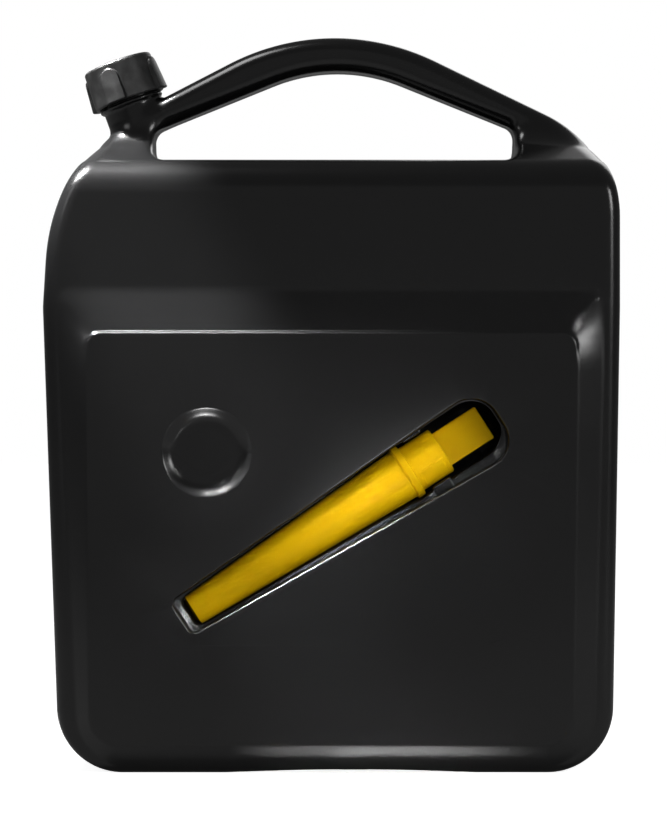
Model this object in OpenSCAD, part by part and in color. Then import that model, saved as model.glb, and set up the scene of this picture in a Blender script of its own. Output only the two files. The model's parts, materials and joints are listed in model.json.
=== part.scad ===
// Fuel jerrycan of 20 litres: a blow-moulded can with a handle across its top, a slanted neck
// with a screw cap, and a pouring spout stored in a slanted pocket in its front.
// Millimetres. X runs across the front, Y to the back, Z up, from the middle of the base.

/* [Can body] */
// Width across the widest level
can_w = 373; // [360:1:390]
// Height from the base to the top of the handle
can_h = 480; // [476:1:490]
// Depth between the flat faces above the front and back panels
body_d = 146; // [140:1:156]
// Wall thickness
wall = 2.4; // [2:0.1:3]
// Height of the widest level
wide_z = 300; // [280:1:320]
// How far the left side leans in at the foot
foot_in_left = 10.5; // [6:0.5:14]
// How far the right side leans in at the foot
foot_in_right = 5; // [3:0.5:12]
// Radius of the lower corners seen from the front
foot_r = 43; // [38:1:48]
// Edge radius along the sides and the handle
edge_r = 9.5; // [8:0.5:11]
// Edge radius along the base
base_edge_r = 4; // [3:0.5:6]
// Rise of the shallow arch under the base
arch_rise = 2; // [1:0.5:3]
// Width of that arch
arch_w = 160; // [120:5:200]
// Sideways place of the arch
arch_x = 13; // [0:1:20]

/* [Shoulder] */
// Radius of the right shoulder
right_shoulder_r = 78; // [70:1:84]
// Radius of the left shoulder
left_shoulder_r = 130; // [110:5:140]
// Height of the left shoulder's corner
left_shoulder_z = 382; // [378:1:386]
// How far that corner leans in
left_shoulder_in = 5; // [3:0.5:8]
// Height of the front shoulder's edge
shoulder_z = 390; // [386:1:392]
// Radius of the front shoulder's edge
shoulder_r = 24; // [18:1:28]
// Height at which the roots reach the depth of the handle
root_z = 412; // [408:1:416]
// Radius between the shoulder and the roots of the handle
root_r = 22; // [16:1:26]

/* [Handle] */
// Depth of the handle from front to back
handle_d = 34; // [32:1:38]
// Slope of the handle's top on the right
top_slope_right = 25.8; // [24:0.2:27]
// Slope of the handle's top on the left
top_slope_left = 27.4; // [26:0.2:28]
// Radius of the handle's top
crown_r = 152; // [140:1:165]
// Where the left slope ends at the neck
slope_end_x = 128; // [124:1:134]

/* [Grip hole] */
// Height of the flat top of the can under the handle
deck_z = 396; // [392:1:400]
// Height of the hole's highest point
hole_top_z = 457.5; // [452:0.5:459]
// Reach of the hole to the left
hole_left = 117.5; // [112:0.5:119]
// Reach of the hole to the right
hole_right = 121; // [114:0.5:124]
// Slope of the hole's top
hole_slope = 22; // [20:0.5:24]
// Radius of the hole's top
hole_crown_r = 113; // [100:1:125]
// Radius of the hole's corners
hole_corner_r = 9; // [7:0.5:10]
// Sideways place of the hole's highest point
hole_peak_x = 4; // [0:0.5:8]

/* [Panels] */
// How far the front and back panels stand proud
panel_rise = 9.5; // [8:0.5:12]
// Half width of the panel
panel_half_w = 158; // [150:1:160]
// Height of the panel's top edge
panel_top_z = 284; // [270:1:288]
// Height of the panel's bottom edge
panel_bottom_z = 18; // [16:1:22]
// Width of the slope along the panel's sides
side_slope_w = 19; // [14:1:20]
// Height of the slope above the panel
top_slope_h = 27; // [22:1:30]
// Radius of the panel's lower corners
panel_corner_r = 20; // [16:1:26]

/* [Round recess] */
// Sideways place of its centre
dish_x = -80; // [-90:1:-74]
// Height of its centre
dish_z = 206.5; // [200:0.5:225]
// Diameter at the rim
dish_d = 57; // [48:1:60]
// Diameter of its floor
dish_floor_d = 40; // [32:1:44]
// Depth
dish_depth = 4.5; // [3:0.5:6]

/* [Neck] */
// Sideways place of the cap's lower edge on the neck's axis
neck_x = -133.8; // [-135:0.2:-132]
// Height of that point
neck_z = 439.3; // [438:0.2:442]
// Tilt of the neck to the left
neck_tilt = 20; // [18:0.5:22]
// Outer diameter of the neck
neck_d = 39; // [38:0.2:40]
// Length of the neck inside the cap
neck_h = 22.4; // [20:0.2:24]
// How far the neck's pillar reaches down into the shoulder
pillar_h = 40; // [36:1:44]
// Depth of the round bore below the cap's lower edge
bore_below = 14; // [12:1:15]
// Radius of the bent way from the bore into the can
passage_r = 13.5; // [12:0.5:14]
// Sideways place of that way's lower end
passage_x = -140; // [-142:1:-136]
// Height of that way's lower end
passage_z = 385; // [380:1:390]
// Diameter of the neck's collar
collar_ring_d = 43; // [41:0.5:45]
// Height of that collar
collar_ring_h = 2.5; // [2:0.5:3]

/* [Cap] */
// Diameter of the cap at its lower edge
cap_d = 47.5; // [46.8:0.1:49]
// Wall of the cap
cap_wall = 2.6; // [2.2:0.1:2.8]
// Thickness of the cap's top
cap_top = 2.4; // [2:0.2:3]
// Thickness of the sealing disc
liner_t = 1.5; // [1:0.1:2]
// How much narrower the cap is at its top, on the radius
cap_draft = 0.6; // [0.2:0.1:0.8]
// Radius of the cap's upper edge
cap_edge_r = 2; // [1:0.5:2]
// Number of grip lugs
lug_count = 4; // [3:1:6]
// Width of a lug
lug_w = 12.5; // [9:0.5:14]
// How far a lug stands proud at the bottom
lug_out = 2.8; // [2:0.1:3.2]
// How far a lug stands proud at its top
lug_out_top = 1.2; // [0.8:0.1:1.6]
// Distance from the cap's top to the top of a lug
lug_drop = 4; // [3:0.5:6]
// Turn of the first lug from the front, to the left
lug_turn = 18; // [0:1:45]

/* [Spout] */
// Sideways place of the spout's tip
tip_x = -89; // [-92:0.5:-87]
// Height of the spout's tip
tip_z = 104.5; // [102:0.5:110]
// Rise of the spout to the right
spout_rise = 32.8; // [31:0.2:34]
// Diameter of the tip
tip_d = 20.3; // [18:0.1:21]
// Diameter of the cone's wide end
cone_d = 33.8; // [31:0.1:34]
// Length of the cone
cone_l = 162; // [150:1:164]
// Diameter of the flange
flange_d = 36.8; // [35:0.1:37]
// Thickness of the flange
flange_t = 5; // [3:0.5:6]
// Diameter of the collar that plugs into the neck
plug_d = 31.6; // [30:0.1:32]
// Length of that collar
plug_l = 23.5; // [20:0.5:25]
// Wall of the spout
spout_wall = 2.1; // [1.8:0.1:2.4]
// Length of the straight bore at the tip
tip_bore_l = 14; // [10:1:20]
// Width of the tongue
tongue_w = 24; // [20:0.5:25]
// Length of the tongue beyond the collar
tongue_l = 33.5; // [28:0.5:34]
// Thickness of the tongue
tongue_t = 3; // [2:0.5:4]
// Corner radius of the tongue
tongue_r = 3; // [1:0.5:6]
// Width of the locking pads on the collar
pad_w = 12; // [8:0.5:13]
// Length of the pads
pad_l = 18; // [12:1:19]
// How far the pads stand proud
pad_out = 0.8; // [0.4:0.1:1]
// Turn of the first pad from the front, downwards
pad_turn = 35; // [25:1:45]

/* [Spout pocket] */
// How far the spout lies below the panel
spout_sink = 2; // [1:0.5:4]
// Room around the spout where it rests
spout_fit = 0.3; // [0.2:0.05:0.5]
// Room above the spout at the wide end
pocket_room_up = 2.8; // [2:0.1:3.5]
// Room below the spout at the wide end
pocket_room_down = 8.6; // [7:0.1:9.5]
// Room beside the tip
pocket_room_tip = 2.6; // [1.5:0.1:3]
// Room beyond the tip
pocket_end_tip = 8.5; // [6:0.5:9]
// Corner radius beyond the tip
pocket_tip_r = 4; // [2:0.5:6]
// Room beyond the tongue
pocket_end_tongue = 9; // [7:0.5:10]
// Length of the holding bumps beside the collar
bump_l = 14; // [10:1:18]
// Height of the holding bumps above the spout's axis
bump_h = 10; // [6:1:12]

/* [Hidden] */
$fn = 96;
arc_steps = 6;
rim_steps = 3;
skin = 0.05;
over = 1;
slack = 0.5;
far = 600;
root_share = 0.1;
foot_share = 0.2;
bore_play = 0.4;
liner_play = 0.2;
rim_reach = 3;

// Planes that part the moulded shell, so that no piece closes round a hollow
front_cut = 61;
back_cut = 68;
side_cut = 150;
foot_cut = 20;
shoulder_cut = 386;
arch_cut_left = -30;
arch_cut_right = 40;

half_w = can_w / 2;
half_d = body_d / 2;
face_y = half_d + panel_rise;
handle_half = handle_d / 2;
mean_slope = (top_slope_left + top_slope_right) / 2;
crown_peak_z = can_h + crown_r * (1 / cos(mean_slope) - 1);
hole_peak_z = hole_top_z + hole_crown_r * (1 / cos(hole_slope) - 1);
panel_foot_in = (foot_in_left + foot_in_right) * foot_share;

bore_r = plug_d / 2 + bore_play;
cap_h = neck_h + liner_t + cap_top + 2 * skin;
cap_bore_r = cap_d / 2 - cap_wall;
liner_r = cap_bore_r - cap_draft - liner_play;

flange_r = flange_d / 2;
tip_r = tip_d / 2;
plug_r = plug_d / 2;
plug_bore_r = plug_r - spout_wall;
spout_l = cone_l + flange_t + plug_l + tongue_l;
spout_dip = atan((flange_r - tip_r) / (cone_l + flange_t / 2));
tip_y = -(face_y - spout_sink - tip_r);

pocket_from = -pocket_end_tip;
pocket_to = spout_l + pocket_end_tongue;
deck_cut = deck_z + slack;
root_cut_left = slack - hole_left;
root_cut_right = hole_right - slack;

// Geometry of rounded outlines
function unit(v) = v / norm(v);
function flat(p) = [p.x, p.y];

// One rounded corner of an anticlockwise outline: points on the arc, each with its inward normal
function corner(a, b, c, r) =
    let (u = unit(a - b), v = unit(c - b), half = acos(u * v) / 2,
         side = sign(cross(b - a, c - b)), centre = b + unit(u + v) * r / sin(half),
         start = b + u * r / tan(half) - centre, sweep = side * (180 - 2 * half))
    [for (i = [0:arc_steps])
        let (turn = atan2(start.y, start.x) + sweep * i / arc_steps, d = [cos(turn), sin(turn)])
        concat(centre + r * d, -side * d)];

// Closed outline from corners given as [x, y, radius]
function rounded(corners) =
    let (n = len(corners))
    [for (i = [0:n - 1])
        each corner(flat(corners[(i + n - 1) % n]), flat(corners[i]), flat(corners[(i + 1) % n]),
                    corners[i][2])];

// Outline moved inwards along its normals
function inset(outline, amount) = [for (p = outline) flat(p) + amount * [p[2], p[3]]];

// How far an edge of radius r is cut back at a depth t below the face
function edge_cut(r, t) = let (d = r - max(0, min(r, t))) r - sqrt(r * r - d * d);

// Solid through rings of one outline, one ring for each place along Y
module loft_y(places, rings) {
    n = len(rings[0]);
    last = len(rings) - 1;
    polyhedron(
        points = [for (j = [0:last]) for (p = rings[j]) [p.x, places[j], p.y]],
        faces = concat(
            [[for (i = [n - 1:-1:0]) i]],
            [for (j = [0:last - 1]) for (i = [0:n - 1])
                each [[j * n + i, j * n + (i + 1) % n, (j + 1) * n + (i + 1) % n],
                      [j * n + i, (j + 1) * n + (i + 1) % n, (j + 1) * n + i]]],
            [[for (i = [0:n - 1]) last * n + i]]));
}

// Silhouette of the can from the front, without the neck
front_outline = rounded([
    [half_w - foot_in_right, 0, foot_r],
    [half_w, wide_z, foot_r],
    [half_w, crown_peak_z - half_w * tan(top_slope_right), right_shoulder_r],
    [0, crown_peak_z, crown_r],
    [-slope_end_x, crown_peak_z - slope_end_x * tan(top_slope_left), rim_reach * edge_r],
    [left_shoulder_in - half_w, left_shoulder_z, left_shoulder_r],
    [-half_w, wide_z, foot_r],
    [foot_in_left - half_w, 0, foot_r]]);

// Outline of the grip hole
hole_outline = rounded([
    [hole_right, deck_z, hole_corner_r],
    [hole_right, hole_peak_z - (hole_right - hole_peak_x) * tan(hole_slope), hole_corner_r],
    [hole_peak_x, hole_peak_z, hole_crown_r],
    [-hole_left, hole_peak_z - (hole_left + hole_peak_x) * tan(hole_slope), hole_corner_r],
    [-hole_left, deck_z, hole_corner_r]]);

// Profile of the can from the side, without the panels
function side_outline(low) = rounded([
    [-half_d, low, base_edge_r], [half_d, low, base_edge_r],
    [half_d, shoulder_z, shoulder_r], [handle_half, root_z, root_r],
    [handle_half, can_h + edge_r, base_edge_r], [-handle_half, can_h + edge_r, base_edge_r],
    [-handle_half, root_z, root_r], [-half_d, shoulder_z, shoulder_r]]);

// Half depth of the can at each height, for a surface moved inwards
function depth_table(amount) =
    [for (p = inset(side_outline(-can_h), amount)) if (p.x > 0) [p.y, p.x]];

// Edge radius at each height: smaller along the base
function edge_at(z) = base_edge_r + (edge_r - base_edge_r) * min(1, max(0, z / foot_r));

// Places along Y where the lofts have a ring
function ring_places(amount) =
    let (r = edge_r - amount, low = handle_half - amount, high = half_d - amount,
         near = [for (i = [0:rim_steps]) low - r + r * sin(90 * i / rim_steps)],
         middle = [for (i = [1:rim_steps]) low + (high - r - low) * i / (rim_steps + 1)],
         far = [for (i = [0:rim_steps]) high - r + r * sin(90 * i / rim_steps)],
         half = concat(near, middle, far, [high + over]))
    concat([for (i = [len(half) - 1:-1:0]) -half[i]], half);

// Can without its neck and panels; amount moves the whole surface inwards
module can_shape(amount) {
    places = ring_places(amount);
    depths = depth_table(amount);
    intersection() {
        loft_y(places, [for (y = places)
            [for (p = front_outline)
                let (cut = edge_cut(edge_at(p.y) - amount, lookup(p.y, depths) + skin - abs(y)))
                flat(p) + (amount + cut) * [p[2], p[3]]]]);
        rotate([90, 0, 90])
            linear_extrude(can_w + 2 * over, center = true)
                polygon(inset(side_outline(amount > 0 ? arch_rise : -2 * base_edge_r), amount));
    }
}

// Grip hole with rounded rims; amount moves its surface outwards
module grip_hole(amount) {
    places = ring_places(amount);
    depths = depth_table(amount);
    loft_y(places, [for (y = places)
        [for (p = hole_outline)
            let (rim = (edge_r - amount) * min(1, max(0, (p.y - deck_z) / (rim_reach * hole_corner_r))),
                 cut = rim > 0 ? edge_cut(rim, lookup(p.y, depths) + skin - abs(y)) : 0)
            flat(p) - (amount + cut) * [p[2], p[3]]]]);
}

// Front panel with its slopes; amount moves its surface inwards
module panel(amount) {
    foot = panel_half_w - panel_foot_in;
    top = inset(rounded([
        [foot, panel_bottom_z, panel_corner_r], [panel_half_w, panel_top_z, edge_r],
        [-panel_half_w, panel_top_z, edge_r], [-foot, panel_bottom_z, panel_corner_r]]), amount);
    low = inset(rounded([
        [foot + side_slope_w - foot_in_right, base_edge_r + skin, foot_r - edge_r],
        [panel_half_w + side_slope_w, panel_top_z + top_slope_h, edge_r],
        [-panel_half_w - side_slope_w, panel_top_z + top_slope_h, edge_r],
        [-foot - side_slope_w + foot_in_left, base_edge_r + skin, foot_r - edge_r]]), amount);
    root = [for (i = [0:len(top) - 1]) low[i] + (low[i] - top[i]) * root_share];
    loft_y([-face_y + amount, amount - half_d + root_share * panel_rise], [top, root]);
}

module both_panels(amount) {
    panel(amount);
    mirror([0, 1, 0]) panel(amount);
}

module neck_frame() translate([neck_x, 0, neck_z]) rotate([0, -neck_tilt, 0]) children();

module neck_outside() {
    neck_frame() {
        translate([0, 0, -pillar_h]) cylinder(d = neck_d, h = pillar_h + neck_h);
        translate([0, 0, -collar_ring_h - over]) cylinder(d = collar_ring_d, h = collar_ring_h);
    }
}

// Round bore of the neck and the bent way from it into the can
module neck_inside() {
    start = [neck_x + (bore_below - over) * sin(neck_tilt), neck_z - (bore_below - over) * cos(neck_tilt)];
    run = [passage_x, passage_z] - start;
    neck_frame() translate([0, 0, -bore_below]) cylinder(r = bore_r, h = bore_below + neck_h + over);
    translate([start.x, 0, start.y]) {
        rotate([0, atan2(run.x, run.y), 0]) cylinder(r = passage_r, h = norm(run));
        sphere(r = passage_r);
    }
}

// Round recess in the front panel; amount makes it larger
module dish(amount) {
    translate([dish_x, -face_y, dish_z]) rotate([-90, 0, 0]) {
        cylinder(d1 = dish_d + 2 * amount, d2 = dish_floor_d + 2 * amount, h = dish_depth + amount);
        translate([0, 0, -over]) cylinder(d = dish_d + 2 * amount, h = over + skin);
    }
}

// Frame of the spout: Z along its axis from the tip, X downwards, Y to the back
module spout_frame()
    translate([tip_x, tip_y, tip_z]) rotate([0, 90 - spout_rise, 0]) rotate([-spout_dip, 0, 0])
        children();

// Half width of the pocket at a place along the spout, on its upper (-1) or lower (1) side
function pocket_half(side, along) =
    let (end = flange_r + (side < 0 ? pocket_room_up : pocket_room_down), tip = tip_r + pocket_room_tip)
    tip + (end - tip) * (along - pocket_from) / (pocket_to - pocket_from);

// Pocket of the spout: a cradle under it and straight walls up to the panel
module pocket(amount) {
    low = pocket_from - amount;
    high = pocket_to + amount;
    cradle_r = flange_r + spout_fit + amount;
    spout_frame() {
        rotate([90, 0, 0]) linear_extrude(face_y)
            polygon([for (p = rounded([
                [pocket_half(1, low) + amount, low, pocket_tip_r + amount],
                [pocket_half(1, high) + amount, high, flange_r],
                [-pocket_half(-1, high) - amount, high, flange_r],
                [-pocket_half(-1, low) - amount, low, pocket_tip_r + amount]])) flat(p)]);
        translate([0, 0, -over - amount])
            cylinder(r1 = tip_r + spout_fit + amount, r2 = cradle_r, h = cone_l - flange_t + over + amount);
        translate([0, 0, cone_l - flange_t - skin])
            cylinder(r = cradle_r, h = high - flange_r - cone_l + flange_t);
        translate([0, 0, high - flange_r - skin]) sphere(r = cradle_r);
    }
}

// Bump on the upper (-1) or lower (1) wall of the pocket that holds the spout's collar
module holding_bump(side) {
    middle = cone_l + flange_t + plug_l / 2;
    reach = pocket_half(side, middle) + wall / 2;
    gap = plug_r + pad_out + spout_fit;
    spout_frame()
        translate([side * (gap + reach) / 2, -bump_h / 2, middle])
            rotate([90, 0, 0])
                linear_extrude(bump_h, center = true)
                    polygon([for (p = rounded([
                        [(gap - reach) / 2, -bump_l / 2, over], [(reach - gap) / 2, -bump_l / 2, over],
                        [(reach - gap) / 2, bump_l / 2, over], [(gap - reach) / 2, bump_l / 2, over]]))
                        flat(p)]);
}

module base_arch() {
    radius = (pow(arch_w / 2, 2) + pow(arch_rise, 2)) / (2 * arch_rise);
    translate([arch_x, 0, arch_rise - radius]) rotate([90, 0, 0])
        cylinder(r = radius, h = 2 * face_y + 2 * over, center = true, $fn = 720);
}

// Space inside the can
module can_inside() {
    difference() {
        union() {
            can_shape(wall);
            both_panels(wall);
        }
        grip_hole(wall);
        pocket(wall);
        dish(wall);
    }
}

// The whole moulded shell
module can_shell() {
    difference() {
        union() {
            difference() {
                union() {
                    can_shape(0);
                    neck_outside();
                }
                grip_hole(0);
            }
            both_panels(0);
        }
        can_inside();
        neck_inside();
        pocket(0);
        dish(0);
        base_arch();
    }
}

// What of the shell lies in a zone
module can_piece() {
    color([0.11, 0.11, 0.115])
        intersection() {
            can_shell();
            children();
        }
}

module block(low, high) translate(low) cube(high - low);

// Zone between two lines in the spout's plan, given at its two ends as places across and along
module slot_zone(points)
    spout_frame() rotate([90, 0, 0]) linear_extrude(2 * far, center = true) polygon(points);

// Place across of a line just inside the pocket's upper (-1) or lower (1) wall
function slot_line(side, along) = side * (pocket_half(side, along) - slack);

module beside_slot(side)
    slot_zone([
        [slot_line(side, -can_w / 2), -can_w / 2], [slot_line(side, can_h), can_h],
        [side * far, can_h], [side * far, -can_w / 2]]);

module within_slot(low, high)
    slot_zone([
        [slot_line(-1, low), low], [slot_line(1, low), low],
        [slot_line(1, high), high], [slot_line(-1, high), high]]);

module slot_half(side)
    slot_zone([[0, -far], [side * far, -far], [side * far, far], [0, far]]);

module front_zone() block([-far, -far, -far], [far, -front_cut, deck_cut]);

module can_back() can_piece() block([-far, back_cut, -far], [far, far, deck_cut]);

module can_left() can_piece() block([-far, -front_cut, -far], [-side_cut, back_cut, deck_cut]);

module can_right() can_piece() block([side_cut, -front_cut, -far], [far, back_cut, deck_cut]);

module can_base() can_piece() block([-side_cut, -front_cut, -far], [side_cut, back_cut, foot_cut]);

module can_shoulder()
    can_piece() block([root_cut_left, -front_cut, shoulder_cut], [side_cut, back_cut, deck_cut]);

module front_beside(side) {
    can_piece() intersection() {
        front_zone();
        beside_slot(side);
    }
    color([0.11, 0.11, 0.115]) holding_bump(side);
}

module front_upper() front_beside(-1);

module front_lower() front_beside(1);

module front_left()
    can_piece() intersection() {
        front_zone();
        within_slot(-can_w / 2, pocket_from + pocket_tip_r);
    }

module front_right(side)
    can_piece() intersection() {
        front_zone();
        within_slot(pocket_to - flange_r, can_h);
        slot_half(side);
    }

module front_right_high() front_right(-1);

module front_right_low() front_right(1);

// The cradle under the spout with the foot of the pocket's walls, above or below the spout's axis
module pocket_part(side)
    can_piece() intersection() {
        union() {
            block([-side_cut, -front_cut, foot_cut], [side_cut, back_cut, shoulder_cut]);
            intersection() {
                block([-far, -far, -far], [far, over - front_cut, far]);
                within_slot(pocket_from + pocket_tip_r, pocket_to - flange_r);
            }
        }
        slot_half(side);
    }

module pocket_high() pocket_part(-1);

module pocket_low() pocket_part(1);

module handle_left()
    can_piece() {
        block([-far, -far, deck_cut], [root_cut_left, far, far]);
        block([-side_cut, -front_cut, shoulder_cut], [root_cut_left, back_cut, deck_cut + over]);
    }

module handle_right() can_piece() block([root_cut_right, -far, deck_cut], [far, far, far]);

module arch_left() can_piece() block([root_cut_left, -far, deck_cut], [arch_cut_left, far, far]);

module arch_middle() can_piece() block([arch_cut_left, -far, deck_cut], [arch_cut_right, far, far]);

module arch_right() can_piece() block([arch_cut_right, -far, deck_cut], [root_cut_right, far, far]);

// One grip lug with an arched top, on a cone that stands proud of the cap
module cap_lug() {
    intersection() {
        rotate([90, 0, 0]) linear_extrude(cap_d) {
            translate([-lug_w / 2, 0]) square([lug_w, cap_h - lug_drop - lug_w / 2]);
            translate([0, cap_h - lug_drop - lug_w / 2]) circle(d = lug_w);
        }
        difference() {
            cylinder(r1 = cap_d / 2 + lug_out, r2 = cap_d / 2 - cap_draft + lug_out_top, h = cap_h);
            translate([0, 0, -over]) cylinder(r = cap_bore_r + skin, h = cap_h + 2 * over);
        }
    }
}

module cap() {
    color([0.2, 0.2, 0.2])
        neck_frame() {
            difference() {
                rotate_extrude()
                    polygon(concat(
                        [[0, 0], [cap_d / 2, 0]],
                        [for (i = [0:arc_steps])
                            let (turn = 90 * i / arc_steps)
                            [cap_d / 2 - cap_draft + cap_edge_r * (cos(turn) - 1),
                             cap_h + cap_edge_r * (sin(turn) - 1)]],
                        [[0, cap_h]]));
                translate([0, 0, -over])
                    cylinder(r1 = cap_bore_r, r2 = cap_bore_r - cap_draft, h = cap_h - cap_top + over);
            }
            for (i = [0:lug_count - 1]) rotate(i * 360 / lug_count - lug_turn) cap_lug();
        }
}

module cap_liner() {
    color([0.75, 0.74, 0.7])
        neck_frame() translate([0, 0, neck_h + skin]) cylinder(r = liner_r, h = liner_t);
}

// Tongue beyond the collar, with a web that spans the collar's bore
module tongue() {
    end = cone_l + flange_t + plug_l;
    translate([0, tongue_t / 2, 0]) rotate([90, 0, 0]) linear_extrude(tongue_t) {
        polygon([for (p = rounded([
            [-tongue_w / 2, end - plug_l / 2, over], [tongue_w / 2, end - plug_l / 2, over],
            [tongue_w / 2, end + tongue_l, tongue_r], [-tongue_w / 2, end + tongue_l, tongue_r]]))
            flat(p)]);
        translate([-plug_bore_r - skin, end - plug_l / 2])
            square([2 * plug_bore_r + 2 * skin, plug_l / 2]);
    }
}

module locking_pads() {
    middle = cone_l + flange_t + plug_l / 2;
    for (turn = [0, 180])
        rotate(turn + pad_turn) intersection() {
            translate([-pad_w / 2, -plug_r - 2 * pad_out, middle - pad_l / 2])
                cube([pad_w, 2 * pad_out + spout_wall, pad_l]);
            difference() {
                cylinder(r = plug_r + pad_out, h = spout_l);
                translate([0, 0, -over]) cylinder(r = plug_bore_r + skin, h = spout_l + 2 * over);
            }
        }
}

module spout() {
    color([0.9, 0.72, 0.02])
        spout_frame() {
            rotate_extrude()
                polygon([
                    [tip_r - spout_wall, 0], [tip_r, 0], [cone_d / 2, cone_l], [flange_r, cone_l],
                    [flange_r, cone_l + flange_t], [plug_r, cone_l + flange_t],
                    [plug_r, cone_l + flange_t + plug_l], [plug_bore_r, cone_l + flange_t + plug_l],
                    [plug_bore_r, cone_l], [tip_r - spout_wall, tip_bore_l]]);
            tongue();
            locking_pads();
        }
}

can_back();
can_left();
can_right();
can_base();
can_shoulder();
front_upper();
front_lower();
front_left();
front_right_high();
front_right_low();
pocket_high();
pocket_low();
handle_left();
handle_right();
arch_left();
arch_middle();
arch_right();
cap();
cap_liner();
spout();
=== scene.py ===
"""Fuel jerrycan of 20 litres: black can, screw cap on a slanted neck, yellow spout in its pocket.

Lengths are millimetres in the classes and become metres where a mesh is made. X runs across the front,
Y to the back and Z up, from the middle of the base.
"""

import json
import logging
import math
from dataclasses import dataclass, field
from enum import Enum
from typing import Any, Callable, Sequence

import bmesh
import bpy
import numpy as np
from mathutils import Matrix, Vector
from mathutils.geometry import delaunay_2d_cdt
from numpy.typing import NDArray


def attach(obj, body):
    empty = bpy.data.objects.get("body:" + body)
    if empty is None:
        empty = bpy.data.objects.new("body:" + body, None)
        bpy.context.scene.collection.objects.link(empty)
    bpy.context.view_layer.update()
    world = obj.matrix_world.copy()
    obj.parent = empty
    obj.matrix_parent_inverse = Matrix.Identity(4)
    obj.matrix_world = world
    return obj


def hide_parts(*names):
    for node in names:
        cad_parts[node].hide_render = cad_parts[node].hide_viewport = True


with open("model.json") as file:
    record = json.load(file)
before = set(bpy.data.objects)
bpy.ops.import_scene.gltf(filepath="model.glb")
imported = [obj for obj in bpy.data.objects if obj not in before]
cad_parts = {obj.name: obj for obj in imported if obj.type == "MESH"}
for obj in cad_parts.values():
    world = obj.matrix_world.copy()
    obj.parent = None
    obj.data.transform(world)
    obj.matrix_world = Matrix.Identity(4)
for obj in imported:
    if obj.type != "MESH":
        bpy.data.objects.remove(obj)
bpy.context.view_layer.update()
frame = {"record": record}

Array = NDArray[np.float64]
LOG = logging.getLogger("jerrycan")
MM = 0.001
WELD = 1e-5  # metres under which vertices are merged
NO_LENGTH = 1e-7  # metres under which an edge has no length
NET_DRAWS = 3  # times that a net's vertices are drawn onto the surface
NET_REACH = 1.0  # longest such step
LEAST_SLOPE = 0.2  # least square of a slope that a step is divided by
SLOPE_STEP = 0.02  # difference over which a slope is measured


# ---------------------------------------------------------------- shapes


def unit(v: Array) -> Array:
    """Vectors along the last axis, each divided by its length."""
    return v / np.linalg.norm(v, axis=-1, keepdims=True)


def round_max(a: Array, b: Array, r: Array | float) -> Array:
    """Larger of two distances with a circular edge of radius r.

    It is -r where both are deep inside, plus the length of the two overshoots.
    """
    over = np.hypot(np.maximum(a + r, 0.0), np.maximum(b + r, 0.0))
    return np.minimum(np.maximum(a, b), -r) + over


def round_min(a: Array, b: Array, r: Array | float) -> Array:
    """Smaller of two distances with a hollow of radius r between them."""
    return -round_max(-a, -b, r)


def ramp(t: Array, soft: float) -> Array:
    """Zero below 0 and t above it, joined by a parabola over -soft to soft."""
    return np.where(t < -soft, 0.0, np.where(t > soft, t, (t + soft) ** 2 / (4 * soft)))


def smooth(t: Array) -> Array:
    """3t^2 - 2t^3 on t held between 0 and 1."""
    t = np.clip(t, 0.0, 1.0)
    return t * t * (3 - 2 * t)


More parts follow.
